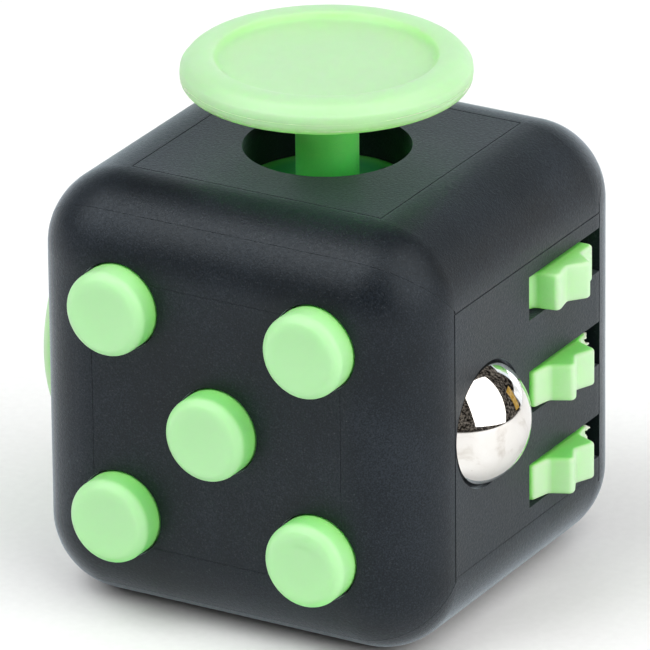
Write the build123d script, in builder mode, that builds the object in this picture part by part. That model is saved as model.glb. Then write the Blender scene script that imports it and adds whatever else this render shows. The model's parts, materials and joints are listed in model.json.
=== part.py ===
from build123d import *
import os
from math import atan2, cos, degrees, radians, sin, sqrt, tan

os.makedirs("parts", exist_ok=True)

# ---------------------------------------------------------------------------
# Fidget cube.  Millimetres, +Z up.  The origin is the centre of the bottom
# face, so the cube body fills Z 0..33.  Faces: -Y buttons, +Z joystick,
# +X gears and ball, -X spin dial, +Y flip rocker, -Z thumb dish.
# Heights written as "h" below are measured from the cube's centre.
# ---------------------------------------------------------------------------

# cube body
SIDE = 33.0                  # across flats
H = SIDE / 2
EDGE_R = 5.9                 # rounding of all edges and corners
WALL = 1.6
SEAM = 10.65                 # straight seams, from the cube's centre
SEAM_BACK_RIGHT = 11.15      # the one at the ends of the gear slots
SEAM_GAP = 0.12              # straight seams between the two shells
MITRE_GAP = 0.035            # mitred seams along the rounded edges
LIP_T = 0.8                  # alignment lip inside the seams
LIP_W = 1.1
LIP_CLEAR = 0.1
LINE_HALF = 10.35            # fine insert lines round a square on the faces
LINE = {"sharp": (0.09, 0.07), "fine": (0.07, 0.04), "faint": (0.05, 0.025)}  # width, depth

# screws (self-tapping, for plastic)
SCREW_R = 0.65
SCREW_HOLE_R = 0.66
HEAD_R = 1.3
HEAD_H = 0.75
BOSS_R = 1.45

# buttons on the front
BTN_PITCH = 8.17
BTN_R = 3.25
BTN_HOLE_R = 3.40
BTN_PROUD = 2.13
BTN_DISH = 1.96              # height of the dish's middle
BTN_FLANGE_R = 3.9
BTN_TRAVEL = 0.8
BTN_STEM_R = 1.5
PLATE_FRONT = -12.0          # y of the backing plate's front
PLATE_T = 1.0
DOME_R = 2.15
DOME_H = 0.9
DOME_T = 0.15

# joystick on top
JOY_HOLE_R = 6.22
JOY_COLLAR_R = 7.8
JOY_COLLAR_END = 13.3        # h
JOY_STEM_R = 2.33
JOY_DISC_R = 10.67
JOY_BASE_R = 9.2
JOY_BASE_TOP = 13.2          # h
JOY_BASE_T = 0.9
JOY_TRAVEL = 2.5
RING_IN, RING_OUT, RING_TOP, RING_T = 7.0, 9.6, 12.2, 0.6
RETAIN_TOP, RETAIN_T, RETAIN_R = 11.5, 1.0, 10.6
CUP_IN, CUP_OUT, CUP_FLOOR = 5.1, 5.9, 8.0
RETAIN_SCREWS = [(11.4, 9.4), (11.4, -9.4), (-11.4, 9.4), (-11.4, -9.4)]

# gears on the right
GEAR_X, GEAR_Y = 13.75, 5.3
GEAR_H = {"gear_upper": 7.45, "gear_middle": 0.0, "gear_lower": -7.4}
GEAR_PHASE = {"gear_upper": 6.0, "gear_middle": -17.5, "gear_lower": -19.0}
GEAR_LOBES = 9
GEAR_ROOT_R = 3.92
GEAR_TIP_FILLET = 0.45
GEAR_ROOT_FILLET = 0.35
GEAR_HALF_T = 1.43
GEAR_DROP = 0.06              # the gears lie on their spacers, below the middle of their slots
GEAR_EDGE = 0.25
GEAR_HUB_R = 1.1
GEAR_HUB_HALF = 1.6
GEAR_AXLE_R = 0.65
GEAR_BORE_R = 0.71
SPACER_R = 1.05
AXLE_R = 0.8
AXLE_BORE_R = 0.86
SLOT_Y0, SLOT_Y1 = 0.4, 11.6  # open at the shell's edge
SLOT_HALF = 1.71

# ball on the right
BALL_R = 5.0
BALL_X, BALL_Y = 14.43, -5.76
BALL_HOLE_R = 4.8
BALL_SEAT_R = 5.12
BALL_TRAVEL = 0.6
BALL_POCKET_R = 5.1
BALL_CUP_R = 4.9
BALL_STEM_R = 1.6

# dial on the left
DIAL_R = 10.0
DIAL_FACE = -18.75 # x
DIAL_T = 1.8
DIAL_SHAFT_R = 2.4
DIAL_BORE_R = 2.46
NUB_R = 1.9
NUB_OFF = 6.6
NUB_TOP = -19.43             # x

# rocker on the back
ROCKER_PIN_Y = 13.9
ROCKER_TILT = 10.0           # degrees either side of level
ROCKER_HALF_W = 4.4
ROCKER_END_R = 7.75
ROCKER_MID_V = 2.75
ROCKER_END_V = 3.69
WINDOW_HALF_W = 4.65
WINDOW_HALF_H = 7.95

# thumb dish in the bottom
DISH_DEPTH = 1.6
DISH_HALF_X = 7.4
DISH_HALF_Y = 9.2
DISH_PAD_R = 11.2
DISH_PAD_TOP = 3.1           # above the bottom face


def save(builder, name):
    builder.part.label = name
    export_step(builder.part, f"parts/{name}.step")
    b = builder.part.bounding_box()
    print(f"{name:24s} solids {len(builder.part.solids()):2d}  volume {builder.part.volume:9.3f}  "
          f"x {b.min.X:7.2f} {b.max.X:7.2f}  y {b.min.Y:7.2f} {b.max.Y:7.2f}  z {b.min.Z:7.2f} {b.max.Z:7.2f}")


# Planes whose local z points out of each face, local y up, origin at the
# cube's centre line.
FRONT = Plane(origin=(0, 0, H), x_dir=(1, 0, 0), z_dir=(0, -1, 0))
BACK = Plane(origin=(0, 0, H), x_dir=(-1, 0, 0), z_dir=(0, 1, 0))
RIGHT = Plane(origin=(0, 0, H), x_dir=(0, 1, 0), z_dir=(1, 0, 0))
LEFT = Plane(origin=(0, 0, H), x_dir=(0, -1, 0), z_dir=(-1, 0, 0))
TOP = Plane.XY.offset(H)
BOTTOM = Plane(origin=(0, 0, H), x_dir=(1, 0, 0), z_dir=(0, 0, -1))

# ---------------------------------------------------------------------------
# Shared tool solids (not written out)
# ---------------------------------------------------------------------------
with BuildPart() as block:
    with Locations((0, 0, H)):
        Box(SIDE, SIDE, SIDE)
    fillet(block.edges(), EDGE_R)

with BuildPart() as cavity:
    with Locations((0, 0, H)):
        Box(SIDE - 2 * WALL, SIDE - 2 * WALL, SIDE - 2 * WALL)
    fillet(cavity.edges(), EDGE_R - WALL)

with BuildPart() as lip_layer:
    with Locations((0, 0, H)):
        Box(SIDE - 2 * WALL - 2 * LIP_CLEAR, SIDE - 2 * WALL - 2 * LIP_CLEAR, SIDE - 2 * WALL - 2 * LIP_CLEAR)
    fillet(lip_layer.edges(), EDGE_R - WALL - LIP_CLEAR)

with BuildPart() as lip_core:
    with Locations((0, 0, H)):
        Box(SIDE - 2 * WALL - 2 * LIP_T, SIDE - 2 * WALL - 2 * LIP_T, SIDE - 2 * WALL - 2 * LIP_T)
    fillet(lip_core.edges(), EDGE_R - WALL - LIP_T)

# Region of shell A: the front and back wedges and the left face, without the
# middle of the right face.
SPAN = 20.0
with BuildPart() as region_a:
    a = MITRE_GAP / 2 * sqrt(2)
    with BuildSketch(RIGHT.offset(-SPAN)):
        for s in (-1, 1):
            with BuildLine():
                Polyline((s * a, 0), (s * SPAN, SPAN - a), (s * SPAN, a - SPAN), close=True)
            make_face()
    extrude(amount=2 * SPAN)
    with BuildSketch(RIGHT):
        with Locations(((SEAM_BACK_RIGHT - SEAM) / 2, 0)):
            Rectangle(SEAM + SEAM_BACK_RIGHT + SEAM_GAP, 2 * SPAN)
    extrude(amount=SPAN, mode=Mode.SUBTRACT)
    with BuildSketch(LEFT):
        Rectangle(2 * SPAN, 2 * SEAM - SEAM_GAP)
    extrude(amount=SPAN)

# Region of shell B: the top and bottom wedges and the right face, without
# the middle of the left face.
with BuildPart() as region_b:
    with BuildSketch(RIGHT.offset(-SPAN)):
        for s in (-1, 1):
            with BuildLine():
                Polyline((0, s * a), (SPAN - a, s * SPAN), (a - SPAN, s * SPAN), close=True)
            make_face()
    extrude(amount=2 * SPAN)
    with BuildSketch(LEFT):
        Rectangle(2 * SPAN, 2 * SEAM + SEAM_GAP)
    extrude(amount=SPAN, mode=Mode.SUBTRACT)
    with BuildSketch(RIGHT):
        with Locations(((SEAM_BACK_RIGHT - SEAM) / 2, 0)):
            Rectangle(SEAM + SEAM_BACK_RIGHT - SEAM_GAP, 2 * SPAN)
    extrude(amount=SPAN)

# Strips either side of every seam, where the lip runs.
with BuildPart() as seam_band:
    w = LIP_W * sqrt(2)
    with BuildSketch(RIGHT.offset(-SPAN)):
        for sy in (-1, 1):
            for sz in (-1, 1):
                with BuildLine():
                    Polyline(
                        (sy * (SEAM - LIP_W), sz * (SEAM - LIP_W)),
                        (sy * (SEAM + LIP_W), sz * (SEAM - LIP_W)),
                        (sy * SPAN, sz * (SPAN - w)),
                        (sy * SPAN, sz * SPAN),
                        (sy * (SPAN - w), sz * SPAN),
                        (sy * (SEAM - LIP_W), sz * (SEAM + LIP_W)),
                        close=True,
                    )
                make_face()
    extrude(amount=2 * SPAN)
    with BuildSketch(RIGHT):
        with Locations((SEAM_BACK_RIGHT, 0), (-SEAM, 0)):
            Rectangle(2 * LIP_W, 2 * SEAM)
    extrude(amount=SPAN)
    with BuildSketch(LEFT):
        with Locations((0, SEAM), (0, -SEAM)):
            Rectangle(2 * SEAM, 2 * LIP_W)
    extrude(amount=SPAN)

# Fine insert lines on the faces.  On the right face only the upper and lower
# ones show, because the seams take the place of the upright ones.
with BuildPart() as face_lines:
    for face, kind in ((FRONT, "faint"), (BACK, "faint"), (LEFT, "faint"), (TOP, "fine")):
        width, depth = LINE[kind]
        with BuildSketch(face.offset(H - depth)):
            Rectangle(2 * LINE_HALF + width, 2 * LINE_HALF + width)
            Rectangle(2 * LINE_HALF - width, 2 * LINE_HALF - width, mode=Mode.SUBTRACT)
        extrude(amount=1.0)
    for h, kind in ((LINE_HALF, "sharp"), (-LINE_HALF, "faint")):
        width, depth = LINE[kind]
        with BuildSketch(RIGHT.offset(H - depth)):
            with Locations(((SEAM_BACK_RIGHT - SEAM) / 2, h)):
                Rectangle(SEAM + SEAM_BACK_RIGHT, width)
        extrude(amount=1.0)

# ---------------------------------------------------------------------------
# Shell A: front, left and back walls in one U-shaped moulding
# ---------------------------------------------------------------------------
BTN_POS = {
    "button_top_left": (-BTN_PITCH, BTN_PITCH),
    "button_top_right": (BTN_PITCH, BTN_PITCH),
    "button_centre": (0.0, 0.0),
    "button_bottom_left": (-BTN_PITCH, -BTN_PITCH),
    "button_bottom_right": (BTN_PITCH, -BTN_PITCH),
}
PLATE_SCREWS = [(0, 8.6), (0, -8.6), (-8.6, 0)]
ROCKER_SCREWS = [(8.6, 6.0), (8.6, -6.0), (-8.6, 6.0), (-8.6, -6.0)]
ROCKER_FLANGE_Y = 12.0       # inner face of the rocker frame's flange
ROCKER_FLANGE_T = 1.0

with BuildPart() as shell_a:
    add(block.part)
    add(cavity.part, mode=Mode.SUBTRACT)
    add(region_a.part, mode=Mode.INTERSECT)
    # alignment lip: stands under shell B across the seam
    with BuildPart(mode=Mode.PRIVATE) as lip:
        add(lip_layer.part)
        add(lip_core.part, mode=Mode.SUBTRACT)
        add(seam_band.part, mode=Mode.INTERSECT)
    with BuildPart(mode=Mode.PRIVATE) as lip_root:
        with Locations((0, 0, H)):
            Box(SIDE - 1.8 * WALL, SIDE - 1.8 * WALL, SIDE - 1.8 * WALL)
        fillet(lip_root.edges(), EDGE_R - 0.9 * WALL)
        add(lip_core.part, mode=Mode.SUBTRACT)
        add(seam_band.part, mode=Mode.INTERSECT)
        add(region_a.part, mode=Mode.INTERSECT)
    add(lip.part)
    add(lip_root.part)
    # the lip gives way to the button flanges, the gears and the ball
    with BuildSketch(FRONT.offset(12.5)):
        with Locations(*BTN_POS.values()):
            Circle(BTN_FLANGE_R + 0.3)
    extrude(amount=H - WALL - 12.5, mode=Mode.SUBTRACT)
    with BuildSketch(RIGHT.offset(8.0)):
        with Locations(*[(10.4, h) for h in GEAR_H.values()]):
            Rectangle(4.2, 2 * SLOT_HALF + 0.4)
    extrude(amount=H - WALL - 8.0, mode=Mode.SUBTRACT)
    with BuildSketch(RIGHT.offset(8.0)):
        with Locations((BALL_Y, 0)):
            Circle(BALL_SEAT_R + 0.2)
    extrude(amount=H - WALL - 8.0, mode=Mode.SUBTRACT)
    # bosses for the button backing plate
    with BuildSketch(FRONT.offset(-PLATE_FRONT)):
        with Locations(*PLATE_SCREWS):
            Circle(BOSS_R)
    extrude(amount=H - WALL / 2 + PLATE_FRONT)
    with BuildSketch(FRONT.offset(-PLATE_FRONT)):
        with Locations(*PLATE_SCREWS):
            Circle(SCREW_HOLE_R)
    extrude(amount=2.6, mode=Mode.SUBTRACT)
    # bosses for the rocker frame
    with BuildSketch(BACK.offset(ROCKER_FLANGE_Y + ROCKER_FLANGE_T)):
        with Locations(*ROCKER_SCREWS):
            Circle(BOSS_R)
    extrude(amount=H - WALL / 2 - ROCKER_FLANGE_Y - ROCKER_FLANGE_T)
    with BuildSketch(BACK.offset(ROCKER_FLANGE_Y + ROCKER_FLANGE_T)):
        with Locations(*ROCKER_SCREWS):
            Circle(SCREW_HOLE_R)
    extrude(amount=2.2, mode=Mode.SUBTRACT)
    # dial bearing collar
    with BuildSketch(LEFT.offset(13.4)):
        Circle(4.2)
    extrude(amount=H - WALL / 2 - 13.4)
    with BuildSketch(LEFT.offset(13.0)):
        Circle(DIAL_BORE_R)
    extrude(amount=6, mode=Mode.SUBTRACT)
    # button holes
    with BuildSketch(FRONT.offset(H - WALL - 1.5)):
        with Locations(*BTN_POS.values()):
            Circle(BTN_HOLE_R)
    extrude(amount=6, mode=Mode.SUBTRACT)
    # rocker window
    with BuildSketch(BACK.offset(H - WALL - 1.5)):
        RectangleRounded(2 * WINDOW_HALF_W, 2 * WINDOW_HALF_H, 0.6)
    extrude(amount=6, mode=Mode.SUBTRACT)
    add(face_lines.part, mode=Mode.SUBTRACT)
save(shell_a, "shell_a")

# ---------------------------------------------------------------------------
# Shell B: top, right and bottom walls in one U-shaped moulding
# ---------------------------------------------------------------------------
BRACKET_SCREWS = [(GEAR_Y, 12.0), (GEAR_Y, -12.0)]
GUIDE_SCREWS = [(BALL_Y, 9.0), (BALL_Y, -9.0)]
EAR_X = 12.5                 # inner face of the ears on the right-hand frames
EAR_T = 1.0

dish_r1 = (DISH_HALF_X**2 + DISH_DEPTH**2) / (2 * DISH_DEPTH)
dish_r2 = (DISH_HALF_Y**2 + DISH_DEPTH**2) / (2 * DISH_DEPTH)
dish_axis_z = DISH_DEPTH - dish_r2
with BuildPart() as dish_cut:
    half = degrees(atan2(DISH_HALF_Y + 2.5, dish_r2))
    tilt = Plane(
        origin=(0, 0, dish_axis_z),
        x_dir=(1, 0, 0),
        z_dir=(0, -cos(radians(half)), sin(radians(half))),
    )
    with BuildSketch(tilt):
        with Locations((0, dish_r2 - dish_r1)):
            Circle(dish_r1)
        with Locations((0, dish_r2 - DISH_DEPTH - 1.5 + 3)):
            Rectangle(40, 6, mode=Mode.INTERSECT)
    revolve(axis=Axis((0, 0, dish_axis_z), (1, 0, 0)), revolution_arc=2 * half)

with BuildPart() as shell_b:
    add(block.part)
    add(cavity.part, mode=Mode.SUBTRACT)
    add(region_b.part, mode=Mode.INTERSECT)
    # thickened floor under the thumb dish
    with BuildSketch(Plane.XY.offset(WALL / 2)):
        Circle(DISH_PAD_R)
    extrude(amount=DISH_PAD_TOP - WALL / 2)
    add(dish_cut.part, mode=Mode.SUBTRACT)
    # joystick collar
    with BuildSketch(TOP.offset(JOY_COLLAR_END)):
        Circle(JOY_COLLAR_R)
    extrude(amount=H - WALL / 2 - JOY_COLLAR_END)
    with BuildSketch(TOP.offset(12.0)):
        Circle(JOY_HOLE_R)
    extrude(amount=8, mode=Mode.SUBTRACT)
    # bosses for the joystick retainer
    with BuildSketch(TOP.offset(RETAIN_TOP)):
        with Locations(*RETAIN_SCREWS):
            Circle(BOSS_R)
    extrude(amount=H - 1.25 * WALL / 2 - RETAIN_TOP - 0.2)
    with BuildSketch(TOP.offset(RETAIN_TOP)):
        with Locations(*RETAIN_SCREWS):
            Circle(SCREW_HOLE_R)
    extrude(amount=2.8, mode=Mode.SUBTRACT)
    # bosses for the gear bracket and the ball guide
    with BuildSketch(RIGHT.offset(EAR_X + EAR_T)):
        with Locations(*BRACKET_SCREWS):
            Circle(BOSS_R)
    extrude(amount=15.5 - EAR_X - EAR_T)
    with BuildSketch(RIGHT.offset(EAR_X + EAR_T)):
        with Locations(*GUIDE_SCREWS):
            Circle(BOSS_R)
    extrude(amount=15.5 - EAR_X - EAR_T)
    with BuildSketch(RIGHT.offset(EAR_X + EAR_T)):
        with Locations(*BRACKET_SCREWS, *GUIDE_SCREWS):
            Circle(SCREW_HOLE_R)
    extrude(amount=2.2, mode=Mode.SUBTRACT)
    # gear slots
    with BuildSketch(RIGHT.offset(H - WALL - 1.5)):
        with Locations(*[((SLOT_Y0 + SLOT_Y1) / 2, h) for h in GEAR_H.values()]):
            Rectangle(SLOT_Y1 - SLOT_Y0, 2 * SLOT_HALF)
    extrude(amount=6, mode=Mode.SUBTRACT)
    # ball hole with a ball-shaped seat behind its lip
    with BuildSketch(Plane(origin=(0, BALL_Y, H), x_dir=(1, 0, 0), z_dir=(0, 0, 1))):
        with BuildLine():
            x0, x2 = BALL_X - 0.43, BALL_X + sqrt(BALL_SEAT_R**2 - BALL_HOLE_R**2)
            x1 = (x0 + x2) / 2
            Line((x0, 0), (x0, sqrt(BALL_SEAT_R**2 - (x0 - BALL_X) ** 2)))
            ThreePointArc((x0, sqrt(BALL_SEAT_R**2 - (x0 - BALL_X) ** 2)), (x1, sqrt(BALL_SEAT_R**2 - (x1 - BALL_X) ** 2)),
                          (x2, BALL_HOLE_R))
            Polyline((x2, BALL_HOLE_R), (H + 1, BALL_HOLE_R), (H + 1, 0), (x0, 0))
        make_face()
    revolve(axis=Axis((0, BALL_Y, H), (1, 0, 0)), mode=Mode.SUBTRACT)
    add(face_lines.part, mode=Mode.SUBTRACT)
save(shell_b, "shell_b")

# ---------------------------------------------------------------------------
# Front: five buttons, backing plate, snap domes, quiet pads, screws
# ---------------------------------------------------------------------------
for name, (bx, bh) in BTN_POS.items():
    with BuildPart() as button:
        # half section, x is the radius and y the height out of the face
        plane = Plane(origin=(bx, -H, H + bh), x_dir=(1, 0, 0), z_dir=(0, 0, 1))
        with BuildSketch(plane):
            with BuildLine():
                Polyline((0, -BTN_DISH), (0, 3.55), (BTN_STEM_R, 3.55), (BTN_STEM_R, 2.5), (BTN_FLANGE_R, 2.5),
                         (BTN_FLANGE_R, 1.7), (BTN_R, 1.7), (BTN_R, -1.30))
                # soft rim, then a shallow dish
                Spline((BTN_R, -1.30), (3.15, -1.72), (2.87, -2.00), (2.42, -BTN_PROUD),
                       tangents=((0, -1), (-1, 0.0)))
                Spline((2.42, -BTN_PROUD), (1.60, -BTN_PROUD + 0.105), (0, -BTN_DISH), tangents=((-1, 0), (-1, 0)))
            make_face()
        revolve(axis=Axis((bx, 0, H + bh), (0, 1, 0)))
    save(button, name)

with BuildPart() as button_plate:
    with BuildSketch(FRONT.offset(-PLATE_FRONT - PLATE_T)):
        RectangleRounded(24.0, 20.8, 1.5)
        with Locations(*PLATE_SCREWS):
            Circle(0.75, mode=Mode.SUBTRACT)
    extrude(amount=PLATE_T)
save(button_plate, "button_plate")

with BuildPart() as button_plate_screws:
    back = -PLATE_FRONT - PLATE_T
    with BuildSketch(FRONT.offset(back - HEAD_H)):
        with Locations(*PLATE_SCREWS):
            Circle(HEAD_R)
    extrude(amount=HEAD_H)
    with BuildSketch(FRONT.offset(back)):
        with Locations(*PLATE_SCREWS):
            Circle(SCREW_R)
    extrude(amount=PLATE_T + 2.3)
    with BuildSketch(FRONT.offset(back - HEAD_H)):
        with Locations(*PLATE_SCREWS):
            Rectangle(1.7, 0.32)
            Rectangle(0.32, 1.7)
    extrude(amount=0.4, mode=Mode.SUBTRACT)
save(button_plate_screws, "button_plate_screws")

dome_R = (DOME_R**2 + DOME_H**2) / (2 * DOME_H)
for name, key in (("snap_dome_top_left", "button_top_left"), ("snap_dome_centre", "button_centre"),
                  ("snap_dome_bottom_right", "button_bottom_right")):
    bx, bh = BTN_POS[key]
    with BuildPart() as dome:
        with BuildSketch(Plane(origin=(bx, PLATE_FRONT, H + bh), x_dir=(1, 0, 0), z_dir=(0, 0, 1))):
            with BuildLine():
                ma = atan2(DOME_R, dome_R - DOME_H) / 2
                ThreePointArc((0, -DOME_H), (dome_R * sin(ma), dome_R - DOME_H - dome_R * cos(ma)), (DOME_R, 0))
                Line((DOME_R, 0), (DOME_R - DOME_T, 0))
                ri = dome_R - DOME_T
                ii = sqrt(ri**2 - (dome_R - DOME_H) ** 2)
                mi = atan2(ii, dome_R - DOME_H) / 2
                Line((DOME_R - DOME_T, 0), (ii, 0))
                ThreePointArc((ii, 0), (ri * sin(mi), dome_R - DOME_H - ri * cos(mi)), (0, DOME_T - DOME_H))
                Line((0, DOME_T - DOME_H), (0, -DOME_H))
            make_face()
        revolve(axis=Axis((bx, 0, H + bh), (0, 1, 0)))
    save(dome, name)

for name, key in (("quiet_pad_top_right", "button_top_right"), ("quiet_pad_bottom_left", "button_bottom_left")):
    bx, bh = BTN_POS[key]
    with BuildPart() as pad:
        with BuildSketch(Plane(origin=(bx, PLATE_FRONT, H + bh), x_dir=(1, 0, 0), z_dir=(0, 0, 1))):
            with BuildLine():
                Polyline((0, 0), (2.1, 0), (2.1, -0.25), (1.3, -0.9), (0, -0.9), close=True)
            make_face()
        revolve(axis=Axis((bx, 0, H + bh), (0, 1, 0)))
    save(pad, name)

# ---------------------------------------------------------------------------
# Top: joystick
# ---------------------------------------------------------------------------
with BuildPart() as joystick_cap:
    with BuildSketch(Plane.XZ.offset(0)):
        with BuildLine():
            # recess floor, lip, rounded rim and slightly conical underside
            Spline((0, H + 22.86), (4.0, H + 22.88), (6.5, H + 22.95), tangents=((1, 0), (1, 0.05)))
            Spline((6.5, H + 22.95), (7.30, H + 23.02), (7.80, H + 23.17), (8.06, H + 23.42), (8.24, H + 23.61),
                   (8.52, H + 23.70), (8.95, H + 23.72), (9.55, H + 23.66), (10.12, H + 23.42), (10.50, H + 22.98),
                   (JOY_DISC_R, H + 22.35), tangents=((1, 0.05), (0, -1)))
            Spline((JOY_DISC_R, H + 22.35), (10.62, H + 21.84), (10.40, H + 21.50), (9.95, H + 21.30), (9.2, H + 21.22),
                   tangents=((0, -1), (-1, -0.05)))
            Spline((9.2, H + 21.22), (6.0, H + 21.13), (3.9, H + 21.04), (2.78, H + 20.80), (JOY_STEM_R, H + 20.2),
                   tangents=((-1, -0.05), (0, -1)))
            Polyline((JOY_STEM_R, H + 20.2), (JOY_STEM_R, H + 14.1), (2.58, H + JOY_BASE_TOP), (0, H + JOY_BASE_TOP), (0, H + 22.86))
        make_face()
    revolve(axis=Axis.Z)
    with BuildSketch(TOP.offset(JOY_BASE_TOP)):
        Circle(SCREW_HOLE_R)
    extrude(amount=5.2, mode=Mode.SUBTRACT)
save(joystick_cap, "joystick_cap")

with BuildPart() as joystick_base:
    with BuildSketch(TOP.offset(JOY_BASE_TOP - JOY_BASE_T)):
        Circle(JOY_BASE_R)
        Circle(0.75, mode=Mode.SUBTRACT)
    extrude(amount=JOY_BASE_T)
    chamfer(joystick_base.edges().filter_by(GeomType.CIRCLE).filter_by(lambda e: e.radius > 5), 0.2)
save(joystick_base, "joystick_base")

with BuildPart() as joystick_screw:
    with BuildSketch(TOP.offset(JOY_BASE_TOP - JOY_BASE_T - HEAD_H)):
        Circle(HEAD_R)
    extrude(amount=HEAD_H)
    with BuildSketch(TOP.offset(JOY_BASE_TOP - JOY_BASE_T)):
        Circle(SCREW_R)
    extrude(amount=5.6)
    with BuildSketch(TOP.offset(JOY_BASE_TOP - JOY_BASE_T - HEAD_H)):
        Rectangle(1.7, 0.32)
        Rectangle(0.32, 1.7)
    extrude(amount=0.4, mode=Mode.SUBTRACT)
save(joystick_screw, "joystick_screw")

with BuildPart() as slide_ring:
    with BuildSketch(TOP.offset(RING_TOP - RING_T)):
        Circle(RING_OUT)
        Circle(RING_IN, mode=Mode.SUBTRACT)
    extrude(amount=RING_T)
save(slide_ring, "slide_ring")

with BuildPart() as joystick_retainer:
    with BuildSketch(TOP.offset(RETAIN_TOP - RETAIN_T)):
        Circle(RETAIN_R)
        with Locations(*RETAIN_SCREWS):
            Circle(1.45)
        for sx in (-1, 1):
            for sy in (-1, 1):
                with BuildLine():
                    Polyline((sx * 6.0, sy * 8.0), (sx * 11.4, sy * 10.85), (sx * 12.85, sy * 9.4), (sx * 9.6, sy * 4.0), close=True)
                make_face()
        Circle(CUP_IN, mode=Mode.SUBTRACT)
        with Locations(*RETAIN_SCREWS):
            Circle(0.75, mode=Mode.SUBTRACT)
    extrude(amount=RETAIN_T)
    with BuildSketch(TOP.offset(CUP_FLOOR)):
        Circle(CUP_OUT)
        Circle(CUP_IN, mode=Mode.SUBTRACT)
    extrude(amount=RETAIN_TOP - CUP_FLOOR)
    with BuildSketch(TOP.offset(CUP_FLOOR - 0.8)):
        Circle(CUP_OUT)
    extrude(amount=0.8)
save(joystick_retainer, "joystick_retainer")

with BuildPart() as retainer_screws:
    with BuildSketch(TOP.offset(RETAIN_TOP - RETAIN_T - HEAD_H)):
        with Locations(*RETAIN_SCREWS):
            Circle(HEAD_R)
    extrude(amount=HEAD_H)
    with BuildSketch(TOP.offset(RETAIN_TOP - RETAIN_T)):
        with Locations(*RETAIN_SCREWS):
            Circle(SCREW_R)
    extrude(amount=RETAIN_T + 2.5)
    with BuildSketch(TOP.offset(RETAIN_TOP - RETAIN_T - HEAD_H)):
        with Locations(*RETAIN_SCREWS):
            Rectangle(1.7, 0.32)
            Rectangle(0.32, 1.7)
    extrude(amount=0.4, mode=Mode.SUBTRACT)
save(retainer_screws, "retainer_screws")

SPRING_R, SPRING_WIRE = 3.2, 0.28
spring_low, spring_high = H + CUP_FLOOR, H + JOY_BASE_TOP - JOY_BASE_T
spring_len = spring_high - spring_low - 2 * SPRING_WIRE - 0.04
with BuildPart() as joystick_spring:
    with BuildLine() as coil:
        Helix(pitch=spring_len / 4.5, height=spring_len, radius=SPRING_R, center=(0, 0, spring_low + SPRING_WIRE + 0.02))
    with BuildSketch(Plane(origin=coil.line @ 0, z_dir=coil.line % 0)):
        Circle(SPRING_WIRE)
    sweep(path=coil.line, is_frenet=True)
save(joystick_spring, "joystick_spring")

# ---------------------------------------------------------------------------
# Right: three gears on one axle, and the ball
# ---------------------------------------------------------------------------
step = 360 / GEAR_LOBES
tip_r = GEAR_ROOT_R * (cos(radians(step / 2)) + sin(radians(step / 2)))   # square-cornered lobes
for name, slot_h in GEAR_H.items():
    h = slot_h - GEAR_DROP
    with BuildPart() as gear:
        with BuildSketch(Plane(origin=(GEAR_X, GEAR_Y, H + h - GEAR_HALF_T), z_dir=(0, 0, 1), x_dir=(1, 0, 0))) as profile:
            with BuildLine():
                points = []
                for i in range(GEAR_LOBES):
                    t = radians(GEAR_PHASE[name] + step * i)
                    v = radians(GEAR_PHASE[name] + step * (i + 0.5))
                    points.append((tip_r * cos(t), tip_r * sin(t)))
                    points.append((GEAR_ROOT_R * cos(v), GEAR_ROOT_R * sin(v)))
                Polyline(*points, close=True)
            make_face()
            tips = [p for p in profile.vertices() if sqrt((p.X - GEAR_X) ** 2 + (p.Y - GEAR_Y) ** 2) > 5]
            fillet(tips, GEAR_TIP_FILLET)
            roots = [p for p in profile.vertices() if sqrt((p.X - GEAR_X) ** 2 + (p.Y - GEAR_Y) ** 2) < GEAR_ROOT_R + 0.01]
            fillet(roots, GEAR_ROOT_FILLET)
        extrude(amount=2 * GEAR_HALF_T)
        fillet(gear.edges().filter_by(lambda e: abs(e.center().Z - (H + h + GEAR_HALF_T)) < 1e-3
                                      or abs(e.center().Z - (H + h - GEAR_HALF_T)) < 1e-3), GEAR_EDGE)
        with BuildSketch(Plane(origin=(GEAR_X, GEAR_Y, H + h - GEAR_HUB_HALF), z_dir=(0, 0, 1), x_dir=(1, 0, 0))):
            Circle(GEAR_HUB_R)
        extrude(amount=2 * GEAR_HUB_HALF)
        with BuildSketch(Plane(origin=(GEAR_X, GEAR_Y, H + h - GEAR_HUB_HALF - 0.5), z_dir=(0, 0, 1), x_dir=(1, 0, 0))):
            Circle(GEAR_BORE_R)
        extrude(amount=2 * GEAR_HUB_HALF + 1, mode=Mode.SUBTRACT)
    save(gear, name)

ARM_IN, ARM_OUT = 9.3, 10.4
with BuildPart() as gear_axle:
    with BuildSketch(Plane(origin=(GEAR_X, GEAR_Y, H - ARM_OUT), z_dir=(0, 0, 1), x_dir=(1, 0, 0))):
        Circle(GEAR_AXLE_R)
    extrude(amount=2 * ARM_OUT)
    chamfer(gear_axle.edges().filter_by(GeomType.CIRCLE), 0.15)
save(gear_axle, "gear_axle")

with BuildPart() as gear_spacers:
    for low, high in ((1.70, 5.75), (-5.70, -1.70)):
        with BuildSketch(Plane(origin=(GEAR_X, GEAR_Y, H + low), z_dir=(0, 0, 1), x_dir=(1, 0, 0))):
            Circle(SPACER_R)
            Circle(GEAR_BORE_R, mode=Mode.SUBTRACT)
        extrude(amount=high - low)
save(gear_spacers, "gear_spacers")

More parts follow.
